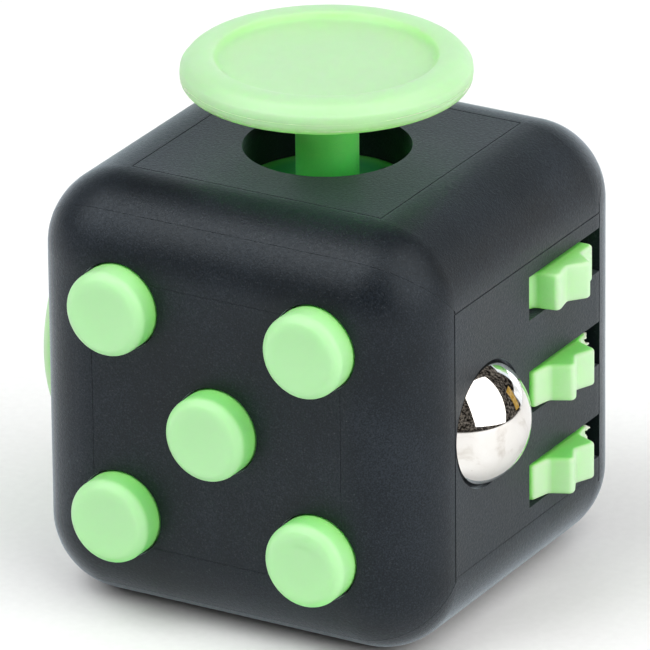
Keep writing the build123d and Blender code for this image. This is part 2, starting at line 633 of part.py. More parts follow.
with BuildPart() as gear_bracket:
    # back plate
    with BuildSketch(RIGHT.offset(6.3)):
        with Locations((5.8, 0)):
            Rectangle(9.2, 2 * ARM_OUT)
    extrude(amount=0.9)
    # arms that hold the axle, and the ears on them
    for s in (-1, 1):
        with BuildSketch(TOP.offset(ARM_IN if s > 0 else -ARM_OUT)):
            with Locations(((6.3 + 14.8) / 2, GEAR_Y)):
                Rectangle(14.8 - 6.3, 3.6)
            with Locations((GEAR_X, GEAR_Y)):
                Circle(GEAR_AXLE_R + 0.01, mode=Mode.SUBTRACT)
        extrude(amount=ARM_OUT - ARM_IN)
        with BuildSketch(RIGHT.offset(EAR_X)):
            with Locations((GEAR_Y, s * (10.0 + 13.4) / 2)):
                Rectangle(3.0, 3.4)
            with Locations((GEAR_Y, s * 12.0)):
                Circle(0.75, mode=Mode.SUBTRACT)
        extrude(amount=EAR_T)
    with BuildSketch(TOP.offset(-ARM_OUT - 1)):
        with Locations((GEAR_X, GEAR_Y)):
            Circle(GEAR_AXLE_R + 0.01)
    extrude(amount=2 * ARM_OUT + 2, mode=Mode.SUBTRACT)
save(gear_bracket, "gear_bracket")

for name, spots in (("gear_bracket_screws", BRACKET_SCREWS), ("ball_guide_screws", GUIDE_SCREWS)):
    with BuildPart() as screws:
        with BuildSketch(RIGHT.offset(EAR_X - HEAD_H)):
            with Locations(*spots):
                Circle(HEAD_R)
        extrude(amount=HEAD_H)
        with BuildSketch(RIGHT.offset(EAR_X)):
            with Locations(*spots):
                Circle(SCREW_R)
        extrude(amount=EAR_T + 1.9)
        with BuildSketch(RIGHT.offset(EAR_X - HEAD_H)):
            with Locations(*spots):
                Rectangle(1.7, 0.32)
                Rectangle(0.32, 1.7)
        extrude(amount=0.4, mode=Mode.SUBTRACT)
    save(screws, name)

with BuildPart() as steel_ball:
    with Locations((BALL_X, BALL_Y, H)):
        Sphere(BALL_R)
save(steel_ball, "steel_ball")

with BuildPart() as ball_cup:
    with BuildSketch(RIGHT.offset(8.3)):
        with Locations((BALL_Y, 0)):
            Circle(BALL_CUP_R)
    extrude(amount=3.2)
    with BuildSketch(RIGHT.offset(4.9)):
        with Locations((BALL_Y, 0)):
            Circle(BALL_STEM_R)
    extrude(amount=3.5)
    with Locations((BALL_X, BALL_Y, H)):
        Sphere(BALL_POCKET_R, mode=Mode.SUBTRACT)
save(ball_cup, "ball_cup")

with BuildPart() as ball_guide:
    with BuildSketch(RIGHT.offset(4.3)):
        with Locations((BALL_Y, 0)):
            Rectangle(6.0, 13.8)
            Circle(BALL_STEM_R + 0.08, mode=Mode.SUBTRACT)
    extrude(amount=1.5)
    for s in (-1, 1):
        with BuildSketch(TOP.offset(5.9 if s > 0 else -6.9)):
            with Locations(((4.3 + EAR_X + EAR_T) / 2, BALL_Y)):
                Rectangle(EAR_X + EAR_T - 4.3, 6.0)
        extrude(amount=1.0)
        with BuildSketch(RIGHT.offset(EAR_X)):
            with Locations((BALL_Y, s * (6.5 + 10.4) / 2)):
                Rectangle(3.0, 3.9)
            with Locations((BALL_Y, s * 9.0)):
                Circle(0.75, mode=Mode.SUBTRACT)
        extrude(amount=EAR_T)
save(ball_guide, "ball_guide")

BALL_SPRING_R, BALL_SPRING_WIRE = 2.5, 0.25
with BuildPart() as ball_spring:
    with BuildLine() as coil:
        Helix(pitch=(2.5 - 2 * BALL_SPRING_WIRE - 0.04) / 2.2, height=2.5 - 2 * BALL_SPRING_WIRE - 0.04,
              radius=BALL_SPRING_R, center=(5.8 + BALL_SPRING_WIRE + 0.02, BALL_Y, H), direction=(1, 0, 0))
    with BuildSketch(Plane(origin=coil.line @ 0, z_dir=coil.line % 0)):
        Circle(BALL_SPRING_WIRE)
    sweep(path=coil.line, is_frenet=True)
save(ball_spring, "ball_spring")

# ---------------------------------------------------------------------------
# Left: spin dial
# ---------------------------------------------------------------------------
with BuildPart() as spin_dial:
    with BuildSketch(LEFT.offset(-DIAL_FACE - DIAL_T)):
        Circle(DIAL_R)
    extrude(amount=DIAL_T)
    fillet(spin_dial.edges().group_by(Axis.X)[0], 0.7)
    fillet(spin_dial.edges().group_by(Axis.X)[-1], 0.25)
    with BuildSketch(LEFT.offset(-DIAL_FACE - 0.3)):
        with Locations((-NUB_OFF, 0)):
            Circle(NUB_R)
    extrude(amount=DIAL_FACE - NUB_TOP + 0.3)
    fillet(spin_dial.edges().filter_by(lambda e: abs(e.center().X - NUB_TOP) < 1e-3), 0.45)
    # shaft, with a pilot hole for the screw
    with BuildSketch(LEFT.offset(13.2)):
        Circle(DIAL_SHAFT_R)
    extrude(amount=-DIAL_FACE - DIAL_T - 13.2)
    with BuildSketch(LEFT.offset(13.2)):
        Circle(SCREW_HOLE_R)
    extrude(amount=3.2, mode=Mode.SUBTRACT)
save(spin_dial, "spin_dial")

with BuildPart() as dial_washer:
    with BuildSketch(LEFT.offset(12.4)):
        Circle(4.4)
        Circle(0.75, mode=Mode.SUBTRACT)
    extrude(amount=0.8)
save(dial_washer, "dial_washer")

with BuildPart() as dial_screw:
    with BuildSketch(LEFT.offset(12.4 - HEAD_H)):
        Circle(HEAD_R)
    extrude(amount=HEAD_H)
    with BuildSketch(LEFT.offset(12.4)):
        Circle(SCREW_R)
    extrude(amount=0.8 + 2.9)
    with BuildSketch(LEFT.offset(12.4 - HEAD_H)):
        Rectangle(1.7, 0.32)
        Rectangle(0.32, 1.7)
    extrude(amount=0.4, mode=Mode.SUBTRACT)
save(dial_screw, "dial_screw")

# ---------------------------------------------------------------------------
# Back: flip rocker.  It rests tilted, with its upper end out.  In its own
# plane, x is along the rocker and y points out of the cube.
# ---------------------------------------------------------------------------
ct, st = cos(radians(ROCKER_TILT)), sin(radians(ROCKER_TILT))
ROCK = Plane(origin=(0, ROCKER_PIN_Y, H), x_dir=(0, -st, ct), z_dir=(-1, 0, 0))
with BuildPart() as rocker:
    with BuildSketch(ROCK.offset(-ROCKER_HALF_W)):
        with BuildLine():
            Polyline((-9, -0.9), (9, -0.9), (9, ROCKER_MID_V + (ROCKER_END_V - ROCKER_MID_V) * 9 / 6.9), (0, ROCKER_MID_V),
                     (-9, ROCKER_MID_V + (ROCKER_END_V - ROCKER_MID_V) * 9 / 6.9), close=True)
        make_face()
        Circle(ROCKER_END_R, mode=Mode.INTERSECT)
    extrude(amount=2 * ROCKER_HALF_W)
    fillet(rocker.edges().filter_by(Axis.X).filter_by(lambda e: ROCK.to_local_coords(e.center()).Y > 3), 0.5)
    with BuildSketch(ROCK.offset(-2.3)):
        with Locations((0, -2.6)):
            Rectangle(3.6, 4.2)
    extrude(amount=4.6)
    with BuildSketch(ROCK.offset(-6)):
        Circle(AXLE_BORE_R)
    extrude(amount=12, mode=Mode.SUBTRACT)
    # bore of the plunger, up from the foot of the stem
    with BuildSketch(Plane(origin=ROCK.from_local_coords(Vector(0, -4.7, 0)), z_dir=(0, ct, st))):
        Circle(1.06)
    extrude(amount=3.4, mode=Mode.SUBTRACT)
save(rocker, "rocker")

with BuildPart() as rocker_plunger:
    tip = ROCK.from_local_coords(Vector(0, -6.2, 0))
    with BuildSketch(Plane(origin=ROCK.from_local_coords(Vector(0, -5.2, 0)), z_dir=(0, ct, st))):
        Circle(1.0)
    extrude(amount=2.2)
    with Locations(ROCK.from_local_coords(Vector(0, -5.2, 0))):
        Sphere(1.0)
save(rocker_plunger, "rocker_plunger")

with BuildPart() as rocker_spring:
    with BuildLine() as coil:
        Helix(pitch=0.42, height=1.3, radius=0.72, center=ROCK.from_local_coords(Vector(0, -2.98 + 0.16, 0)),
              direction=(0, ct, st))
    with BuildSketch(Plane(origin=coil.line @ 0, z_dir=coil.line % 0)):
        Circle(0.14)
    sweep(path=coil.line, is_frenet=True)
save(rocker_spring, "rocker_spring")

with BuildPart() as rocker_pin:
    with BuildSketch(Plane(origin=(-6.1, ROCKER_PIN_Y, H), x_dir=(0, 1, 0), z_dir=(1, 0, 0))):
        Circle(AXLE_R)
    extrude(amount=12.2)
    chamfer(rocker_pin.edges().filter_by(GeomType.CIRCLE), 0.15)
save(rocker_pin, "rocker_pin")

with BuildPart() as rocker_frame:
    # cheeks
    for s in (-1, 1):
        with BuildSketch(Plane(origin=(s * 5.7 - 0.5, 0, H), x_dir=(0, 1, 0), z_dir=(1, 0, 0))):
            with Locations(((6.5 + 14.8) / 2, 0)):
                Rectangle(14.8 - 6.5, 10.0)
            with Locations((ROCKER_PIN_Y, 0)):
                Circle(AXLE_R + 0.01, mode=Mode.SUBTRACT)
        extrude(amount=1.0)
    # trough floor under the plunger
    with BuildSketch(Plane(origin=(-6.2, 0, H), x_dir=(0, 1, 0), z_dir=(1, 0, 0))):
        with Locations(((6.5 + 9.2) / 2, 0)):
            Rectangle(9.2 - 6.5, 10.0)
        with Locations((ROCKER_PIN_Y, 0)):
            Circle(6.3, mode=Mode.SUBTRACT)
    extrude(amount=12.4)
    # screw flanges
    for s in (-1, 1):
        with BuildSketch(BACK.offset(ROCKER_FLANGE_Y)):
            with Locations((s * 7.7, 0)):
                Rectangle(5.0, 15.2)
            with Locations(*ROCKER_SCREWS):
                Circle(0.75, mode=Mode.SUBTRACT)
        extrude(amount=ROCKER_FLANGE_T)
save(rocker_frame, "rocker_frame")

with BuildPart() as rocker_frame_screws:
    with BuildSketch(BACK.offset(ROCKER_FLANGE_Y - HEAD_H)):
        with Locations(*ROCKER_SCREWS):
            Circle(HEAD_R)
    extrude(amount=HEAD_H)
    with BuildSketch(BACK.offset(ROCKER_FLANGE_Y)):
        with Locations(*ROCKER_SCREWS):
            Circle(SCREW_R)
    extrude(amount=ROCKER_FLANGE_T + 1.9)
    with BuildSketch(BACK.offset(ROCKER_FLANGE_Y - HEAD_H)):
        with Locations(*ROCKER_SCREWS):
            Rectangle(1.7, 0.32)
            Rectangle(0.32, 1.7)
    extrude(amount=0.4, mode=Mode.SUBTRACT)
save(rocker_frame_screws, "rocker_frame_screws")
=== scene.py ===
"""Looks of the fidget cube: materials, small moulding details, floor, light and camera.

Everything is in metres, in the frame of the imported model: the cube stands on Z = 0,
its front (button) face looks along -Y, the gears along +X and the joystick along +Z.
"""

import json
import math
import random

import bmesh
import bpy
from mathutils import Matrix, Quaternion, Vector, noise


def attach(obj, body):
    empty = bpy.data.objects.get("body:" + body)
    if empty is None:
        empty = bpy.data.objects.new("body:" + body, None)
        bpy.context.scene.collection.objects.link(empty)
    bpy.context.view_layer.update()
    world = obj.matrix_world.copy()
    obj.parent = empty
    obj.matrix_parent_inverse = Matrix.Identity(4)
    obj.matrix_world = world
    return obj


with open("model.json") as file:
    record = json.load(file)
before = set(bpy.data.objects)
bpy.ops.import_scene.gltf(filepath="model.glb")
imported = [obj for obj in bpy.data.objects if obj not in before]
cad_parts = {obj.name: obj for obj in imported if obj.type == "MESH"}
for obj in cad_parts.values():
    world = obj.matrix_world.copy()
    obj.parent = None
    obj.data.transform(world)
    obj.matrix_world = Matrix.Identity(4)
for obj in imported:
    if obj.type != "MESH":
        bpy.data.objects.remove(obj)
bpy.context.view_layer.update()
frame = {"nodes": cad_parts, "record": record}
nodes = frame["nodes"]
scene = bpy.context.scene

MM = 0.001
HALF = 16.5 * MM  # half the edge of the cube; the cube's centre is at this height


# ---------------------------------------------------------------- camera
# Eye, aim and lens repeat the viewing angle: 30 degrees round to the right of the
# front face, 23.3 degrees above it, from three quarters of a metre away.
AZ, EL, ROLL, DIST = 0.523, 0.406, -0.010, 0.7492
FOCAL_PX, CX, CY, FRAME_PX = 10210.6, 329.36, 352.79, 650.0

back = Vector((math.sin(AZ) * math.cos(EL), -math.cos(AZ) * math.cos(EL), math.sin(EL)))
right = (-back).cross(Vector((0, 0, 1))).normalized()
up = right.cross(-back).normalized()
right_r = right * math.cos(ROLL) + up * math.sin(ROLL)
up_r = up * math.cos(ROLL) - right * math.sin(ROLL)
eye = Vector((0, 0, HALF)) + back * DIST

cam_data = bpy.data.cameras.new("view")
cam = bpy.data.objects.new("view", cam_data)
scene.collection.objects.link(cam)
cam.matrix_world = Matrix(
    (
        (right_r.x, up_r.x, back.x, eye.x),
        (right_r.y, up_r.y, back.y, eye.y),
        (right_r.z, up_r.z, back.z, eye.z),
        (0, 0, 0, 1),
    )
)
cam_data.sensor_width = 36.0
cam_data.lens = FOCAL_PX / FRAME_PX * 36.0
cam_data.shift_x = -(CX - FRAME_PX / 2) / FRAME_PX
cam_data.shift_y = (CY - FRAME_PX / 2) / FRAME_PX
cam_data.clip_start, cam_data.clip_end = 0.01, 50.0
scene.camera = cam
scene.view_settings.view_transform = "Standard"
scene.view_settings.look = "None"


# ---------------------------------------------------------------- light
def area(name, az, el, dist, width, height, power, colour=(1, 1, 1), roll=0, lift=0.0, aim=(0, 0, HALF)):
    """A softbox at azimuth az and elevation el (degrees) round the cube, facing it."""
    a, e = math.radians(az), math.radians(el)
    way = Vector((math.sin(a) * math.cos(e), -math.cos(a) * math.cos(e), math.sin(e)))
    data = bpy.data.lights.new(name, "AREA")
    data.shape = "RECTANGLE"
    data.size, data.size_y = width, height
    data.energy = power
    data.color = colour
    lamp = bpy.data.objects.new(name, data)
    lamp.location = Vector(aim) + way * dist
    lamp.rotation_mode = "QUATERNION"
    lamp.rotation_quaternion = way.to_track_quat("Z", "Y") @ Quaternion((0, 0, 1), math.radians(roll))
    lamp.location += lamp.rotation_quaternion @ Vector((0, lift, 0))
    scene.collection.objects.link(lamp)
    return lamp


area("softbox_left", -42, 49, 0.80, 0.68, 0.68, 4.7, (1.0, 1.0, 1.0))
area("softbox_top", -30, 70, 0.90, 0.55, 0.55, 1.5, (1.0, 1.0, 1.0))
area("panel_right", 82, 35, 0.80, 0.93, 1.24, 9.2, (1.0, 0.99, 0.98), roll=-10, lift=0.14)
area("sweep_back", 206, 5, 1.00, 1.75, 0.85, 5.2, (0.82, 0.92, 1.0), roll=-15)
area("sweep_side", 166, 4, 0.96, 0.60, 0.34, 0.75, (0.90, 0.95, 1.0))
area("amber_card", 139, 14, 0.80, 0.17, 0.34, 0.085, (1.0, 0.60, 0.06), roll=-8)

world = bpy.data.worlds.new("studio")
world.use_nodes = True
wt = world.node_tree
wt.nodes.clear()
w_out = wt.nodes.new("ShaderNodeOutputWorld")
w_bg = wt.nodes.new("ShaderNodeBackground")
w_tc = wt.nodes.new("ShaderNodeTexCoord")
w_noise = wt.nodes.new("ShaderNodeTexNoise")
w_noise.inputs["Scale"].default_value = 17.0
w_noise.inputs["Detail"].default_value = 5.0
w_ramp = wt.nodes.new("ShaderNodeValToRGB")
w_ramp.color_ramp.elements[0].position = 0.44
w_ramp.color_ramp.elements[0].color = (0.010, 0.008, 0.007, 1)
w_ramp.color_ramp.elements[1].position = 0.70
w_ramp.color_ramp.elements[1].color = (0.270, 0.245, 0.215, 1)
wt.links.new(w_tc.outputs["Generated"], w_noise.inputs["Vector"])
wt.links.new(w_noise.outputs["Fac"], w_ramp.inputs["Fac"])
wt.links.new(w_ramp.outputs["Color"], w_bg.inputs["Color"])
w_bg.inputs["Strength"].default_value = 1.0
wt.links.new(w_bg.outputs["Background"], w_out.inputs["Surface"])
scene.world = world


# ---------------------------------------------------------------- node helpers
class Mat:
    """A small builder for a procedural Principled material."""

    def __init__(self, name):
        self.m = bpy.data.materials.new(name)
        self.m.use_nodes = True
        self.t = self.m.node_tree
        self.t.nodes.clear()
        self.out = self.t.nodes.new("ShaderNodeOutputMaterial")
        self.p = self.t.nodes.new("ShaderNodeBsdfPrincipled")
        self.t.links.new(self.p.outputs["BSDF"], self.out.inputs["Surface"])
        tc = self.t.nodes.new("ShaderNodeTexCoord")
        self.obj = tc.outputs["Object"]

    def link(self, a, b):
        self.t.links.new(a, b)

    def set(self, **values):
        for key, value in values.items():
            self.p.inputs[key.replace("_", " ")].default_value = value
        return self

    def noise(self, scale, detail=3.0, rough=0.5, vector=None, distortion=0.0):
        n = self.t.nodes.new("ShaderNodeTexNoise")
        n.inputs["Scale"].default_value = scale
        n.inputs["Detail"].default_value = detail
        n.inputs["Roughness"].default_value = rough
        n.inputs["Distortion"].default_value = distortion
        self.link(vector or self.obj, n.inputs["Vector"])
        return n.outputs["Fac"]

    def voronoi(self, scale, feature="F1", vector=None, randomness=1.0):
        n = self.t.nodes.new("ShaderNodeTexVoronoi")
        n.feature = feature
        n.inputs["Scale"].default_value = scale
        n.inputs["Randomness"].default_value = randomness
        self.link(vector or self.obj, n.inputs["Vector"])
        return n.outputs["Distance"]

    def stretch(self, sx, sy, sz, rot=(0, 0, 0)):
        n = self.t.nodes.new("ShaderNodeMapping")
        n.inputs["Scale"].default_value = (sx, sy, sz)
        n.inputs["Rotation"].default_value = rot
        self.link(self.obj, n.inputs["Vector"])
        return n.outputs["Vector"]

    def ramp(self, fac, stops, mode="LINEAR"):
        n = self.t.nodes.new("ShaderNodeValToRGB")
        n.color_ramp.interpolation = mode
        e = n.color_ramp.elements
        while len(e) < len(stops):
            e.new(0.5)
        for item, (pos, col) in zip(e, stops):
            item.position = pos
            item.color = (*col, 1) if len(col) == 3 else col
        self.link(fac, n.inputs["Fac"])
        return n.outputs["Color"]

    def grey(self, fac, lo, hi, a=0.0, b=1.0):
        """Maps fac from [a, b] to [lo, hi]."""
        n = self.t.nodes.new("ShaderNodeMapRange")
        n.inputs["From Min"].default_value = a
        n.inputs["From Max"].default_value = b
        n.inputs["To Min"].default_value = lo
        n.inputs["To Max"].default_value = hi
        self.link(fac, n.inputs["Value"])
        return n.outputs["Result"]

    def math(self, op, a, b=None, clamp=False):
        n = self.t.nodes.new("ShaderNodeMath")
        n.operation = op
        n.use_clamp = clamp
        for i, v in enumerate((a, b)):
            if v is None:
                continue
            if isinstance(v, (int, float)):
                n.inputs[i].default_value = v
            else:
                self.link(v, n.inputs[i])
        return n.outputs["Value"]

    def mix(self, fac, a, b, blend="MIX"):
        n = self.t.nodes.new("ShaderNodeMix")
        n.data_type = "RGBA"
        n.blend_type = blend
        for key, v in ((0, fac), (6, a), (7, b)):
            if isinstance(v, (int, float)):
                n.inputs[key].default_value = v
            elif isinstance(v, tuple):
                n.inputs[key].default_value = (*v, 1)
            else:
                self.link(v, n.inputs[key])
        return n.outputs[2]

    def bump(self, height, strength, distance, under=None):
        n = self.t.nodes.new("ShaderNodeBump")
        n.inputs["Strength"].default_value = strength
        n.inputs["Distance"].default_value = distance
        self.link(height, n.inputs["Height"])
        if under is not None:
            self.link(under, n.inputs["Normal"])
        return n.outputs["Normal"]


def painted_shade_ao(m, distance):
    """Ambient occlusion for painted shade: 1 where the surface is open, towards 0 where its own surroundings close it
    in.
    """
    n = m.t.nodes.new("ShaderNodeAmbientOcclusion")
    n.samples = 8
    n.inputs["Distance"].default_value = distance
    return n.outputs["AO"]


def rounded(m):
    """0 on the flat faces of the cube, 1 on its rounded edges and corners, from position alone."""
    sep = m.t.nodes.new("ShaderNodeSeparateXYZ")
    m.link(m.obj, sep.inputs[0])
    parts = []
    for axis, mid in ((0, 0.0), (1, 0.0), (2, HALF)):
        d = m.math("ABSOLUTE", m.math("SUBTRACT", sep.outputs[axis], mid))
        over = m.math("MAXIMUM", m.math("SUBTRACT", d, 10.4 * MM), 0.0)
        parts.append(m.math("MULTIPLY", over, over))
    s = m.math("ADD", m.math("ADD", parts[0], parts[1]), parts[2])
    # 6.1 mm squared on a flat face; more where two or three directions pass 10.4 mm
    return m.grey(s, 0.0, 1.0, 37e-6, 46e-6)


# ---------------------------------------------------------------- materials
def black_shell():
    """Black ABS with a fine spark-eroded mould texture, polished a little by hands on its edges."""
    m = Mat("black_shell")
    fine = m.noise(8200.0, 2.0, 0.6)
    grain = m.noise(4300.0, 2.0, 0.55)
    cloud = m.noise(120.0, 3.0, 0.5)
    specks = m.ramp(m.voronoi(1100.0), [(0.0, (1, 1, 1)), (0.09, (0, 0, 0)), (1.0, (0, 0, 0))])
    keep = m.ramp(m.noise(400.0, 1.0), [(0.0, (0, 0, 0)), (0.56, (0, 0, 0)), (0.62, (1, 1, 1))])
    dust = m.math("MULTIPLY", specks, keep)
    base = m.ramp(
        m.math("ADD", m.math("MULTIPLY", fine, 0.6), m.math("MULTIPLY", cloud, 0.4)),
        [(0.34, (0.0005, 0.0012, 0.0024)), (0.50, (0.0028, 0.0052, 0.0084)), (0.66, (0.015, 0.020, 0.028))],
    )
    # Painted glints: sparse lighter flecks mixed into the base colour as the specular sparkle of the mould texture.
    glint = m.ramp(m.noise(7000.0, 1.0), [(0.0, (0, 0, 0)), (0.63, (0, 0, 0)), (0.72, (1, 1, 1))])
    base = m.mix(m.math("MULTIPLY", glint, 0.24), base, (0.055, 0.062, 0.068))
    colour = m.mix(m.math("MULTIPLY", dust, 0.32), base, (0.16, 0.18, 0.19))
    m.link(colour, m.p.inputs["Base Color"])
    edge = rounded(m)
    rough = m.math("ADD", m.grey(grain, 0.37, 0.52, 0.3, 0.7), m.math("MULTIPLY", edge, -0.08))
    rough = m.math("ADD", rough, m.grey(cloud, -0.03, 0.03, 0.35, 0.65))
    m.link(rough, m.p.inputs["Roughness"])
    n1 = m.bump(fine, 0.90, 0.000016)
    n2 = m.bump(grain, 0.70, 0.000017, n1)
    m.link(n2, m.p.inputs["Normal"])
    m.set(IOR=1.36, Specular_IOR_Level=0.5, Specular_Tint=(0.84, 0.93, 1.0, 1.0))
    m.set(Sheen_Weight=0.75, Sheen_Roughness=0.30, Sheen_Tint=(0.78, 0.90, 1.0, 1.0))
    return m.m


# Painted shade: colour of the green plastic by its ambient occlusion, deeper green where closed in: nothing open,
# nearly closed, half, mostly open, fully open. Each part has its own table, set for the light that falls on it.
GREEN_SHADE_TABLES = {
    "button": [(0.022, 0.42, 0.13), (0.12, 0.72, 0.15), (0.30, 0.75, 0.24), (0.395, 0.755, 0.35), (0.415, 0.745, 0.38)],
    "stick": [(0.045, 0.70, 0.11), (0.14, 0.88, 0.17), (0.375, 1.00, 0.205), (0.41, 0.72, 0.32), (0.43, 0.665, 0.395)],
    "base": [(0.020, 0.30, 0.20), (0.085, 0.43, 0.26), (0.28, 0.70, 0.28), (0.395, 0.755, 0.35), (0.415, 0.745, 0.38)],
    "gear": [(0.040, 0.56, 0.06), (0.095, 0.64, 0.10), (0.27, 0.74, 0.19), (0.50, 0.76, 0.43), (0.50, 0.715, 0.465)],
}


def green_plastic(name, lit_copy):
    """Light green polypropylene, a little translucent, with painted shade: pale where it is open, deep green where
    ambient occlusion finds it closed in, and a saturated green painted into tight crevices.
    """
    m = Mat(name)
    cloud = m.noise(160.0, 2.0, 0.5)
    fine = m.noise(5200.0, 3.0, 0.55)
    orange = m.noise(900.0, 2.0, 0.5)
    stops = list(zip((0.0, 0.30, 0.55, 0.80, 1.0), GREEN_SHADE_TABLES[lit_copy]))
    # Painted shade: the base colour follows ambient occlusion over 9 mm, deep green where the part is closed in.
    base = m.ramp(m.math("ADD", painted_shade_ao(m, 9.0 * MM), m.grey(cloud, -0.03, 0.03, 0.35, 0.65)), stops)
    # Painted shade in tight crevices: a saturated green mixed in where occlusion over 1.6 mm is strong.
    crevice_shade = m.grey(painted_shade_ao(m, 1.6 * MM), 0.65, 0.0, 0.48, 0.95)
    base = m.mix(crevice_shade, base, (0.30, 0.84, 0.17))
    specks = m.ramp(m.voronoi(260.0), [(0.0, (1, 1, 1)), (0.020, (0, 0, 0)), (1.0, (0, 0, 0))])
    keep = m.ramp(m.noise(95.0, 1.0), [(0.0, (0, 0, 0)), (0.58, (0, 0, 0)), (0.62, (1, 1, 1))])
    dots = m.math("MULTIPLY", specks, keep)
    colour = m.mix(m.math("MULTIPLY", dots, 0.7), base, (0.12, 0.20, 0.08))
    m.link(colour, m.p.inputs["Base Color"])
    rough = m.math("ADD", m.grey(orange, 0.38, 0.48, 0.3, 0.7), m.grey(cloud, -0.02, 0.03, 0.35, 0.65))
    m.link(rough, m.p.inputs["Roughness"])
    soft = None
    if lit_copy == "gear":
        soft = m.t.nodes.new("ShaderNodeBevel")
        soft.samples = 4
        soft.inputs["Radius"].default_value = 0.45 * MM
        soft = soft.outputs["Normal"]
    n1 = m.bump(fine, 0.22, 0.000010, soft)
    n2 = m.bump(orange, 0.18, 0.00003, n1)
    m.link(n2, m.p.inputs["Normal"])
    m.set(
        IOR=1.46,
        Specular_IOR_Level=0.5,
        Subsurface_Weight={"stick": 0.85, "gear": 0.60, "button": 0.40, "base": 0.40}[lit_copy],
        Subsurface_Radius=(0.45, 1.0, 0.35),
        Subsurface_Scale=0.0030 if lit_copy == "stick" else 0.0018,
    )
    return m.m


def chrome_steel():
    """Polished chromed bearing ball: near mirror, with faint handling marks."""
    m = Mat("chrome_steel")
    smear = m.noise(420.0, 4.0, 0.6, distortion=0.6)
    fine = m.noise(3000.0, 2.0, 0.5)
    colour = m.ramp(smear, [(0.32, (0.62, 0.585, 0.54)), (0.46, (0.79, 0.77, 0.74)), (0.7, (0.82, 0.805, 0.78))])
    pits = m.ramp(m.voronoi(900.0), [(0.0, (1, 1, 1)), (0.12, (0, 0, 0)), (1.0, (0, 0, 0))])
    keep = m.ramp(m.noise(450.0, 1.0), [(0.0, (0, 0, 0)), (0.50, (0, 0, 0)), (0.55, (1, 1, 1))])
    marks = m.math("MULTIPLY", pits, keep)
    m.link(m.mix(m.math("MULTIPLY", marks, 0.75), colour, (0.30, 0.26, 0.20)), m.p.inputs["Base Color"])
    rough = m.math("ADD", m.grey(smear, 0.025, 0.075, 0.35, 0.7), m.math("MULTIPLY", marks, 0.2))
    m.link(rough, m.p.inputs["Roughness"])
    m.link(m.bump(fine, 0.02, 0.00001), m.p.inputs["Normal"])
    m.set(Metallic=1.0)
    return m.m


def inner_plastic():
    """Natural off-white moulding resin of the parts inside."""
    m = Mat("inner_plastic")
    cloud = m.noise(90.0, 2.0, 0.5)
    grain = m.noise(2400.0, 3.0, 0.55)
    base = m.ramp(cloud, [(0.3, (0.47, 0.465, 0.43)), (0.7, (0.58, 0.575, 0.54))])
    m.link(base, m.p.inputs["Base Color"])
    m.link(m.grey(grain, 0.42, 0.56, 0.3, 0.7), m.p.inputs["Roughness"])
    m.link(m.bump(grain, 0.25, 0.00002), m.p.inputs["Normal"])
    m.set(IOR=1.53, Subsurface_Weight=0.15, Subsurface_Radius=(1.0, 0.9, 0.7), Subsurface_Scale=0.0008)
    return m.m


def silicone():
    """Soft milky silicone of the quiet pads."""
    m = Mat("silicone")
    cloud = m.noise(300.0, 2.0, 0.5)
    base = m.ramp(cloud, [(0.3, (0.60, 0.60, 0.57)), (0.7, (0.70, 0.70, 0.68))])
    m.link(base, m.p.inputs["Base Color"])
    m.link(m.grey(cloud, 0.50, 0.64, 0.3, 0.7), m.p.inputs["Roughness"])
    m.link(m.bump(m.noise(2500.0, 2.0), 0.2, 0.00002), m.p.inputs["Normal"])
    m.set(IOR=1.41, Subsurface_Weight=0.4, Subsurface_Radius=(1.0, 0.9, 0.8), Subsurface_Scale=0.0010)
    return m.m


def spring_steel():
    """Drawn spring wire and stamped domes."""
    m = Mat("spring_steel")
    lines = m.noise(900.0, 3.0, 0.6, m.stretch(1, 1, 9))
    fine = m.noise(4000.0, 2.0)
    m.link(m.ramp(lines, [(0.3, (0.50, 0.50, 0.49)), (0.7, (0.66, 0.655, 0.64))]), m.p.inputs["Base Color"])
    m.link(m.grey(fine, 0.22, 0.36, 0.3, 0.7), m.p.inputs["Roughness"])
    m.link(m.bump(lines, 0.15, 0.00001), m.p.inputs["Normal"])
    m.set(Metallic=1.0)
    return m.m


def screw_steel():
    """Zinc-plated screws, axle and pins."""
    m = Mat("screw_steel")
    blot = m.noise(700.0, 3.0, 0.6)
    fine = m.noise(5000.0, 2.0)
    m.link(
        m.ramp(blot, [(0.3, (0.42, 0.43, 0.45)), (0.55, (0.55, 0.56, 0.57)), (0.75, (0.62, 0.61, 0.57))]),
        m.p.inputs["Base Color"],
    )
    m.link(m.grey(blot, 0.26, 0.42, 0.3, 0.7), m.p.inputs["Roughness"])
    m.link(m.bump(fine, 0.12, 0.00001), m.p.inputs["Normal"])
    m.set(Metallic=1.0)
    return m.m


MATERIALS = {
    "black_shell": black_shell(),
    "green_plastic": green_plastic("green_plastic", "button"),
    "chrome_steel": chrome_steel(),
    "inner_plastic": inner_plastic(),
    "silicone": silicone(),
    "spring_steel": spring_steel(),
    "screw_steel": screw_steel(),
}

# Lit and shaded copies of the one green plastic: the joystick cap, its base, and the dial and gears each take their own
# painted-shade table, set for how the light falls on them.
STICK = green_plastic("green_plastic_stick", "stick")
GEAR = green_plastic("green_plastic_gear", "gear")
BASE = green_plastic("green_plastic_base", "base")
LIT_AND_SHADED_COPIES = {"joystick_cap": STICK, "joystick_base": BASE, "spin_dial": GEAR, "gear_upper": GEAR, "gear_middle": GEAR, "gear_lower": GEAR}


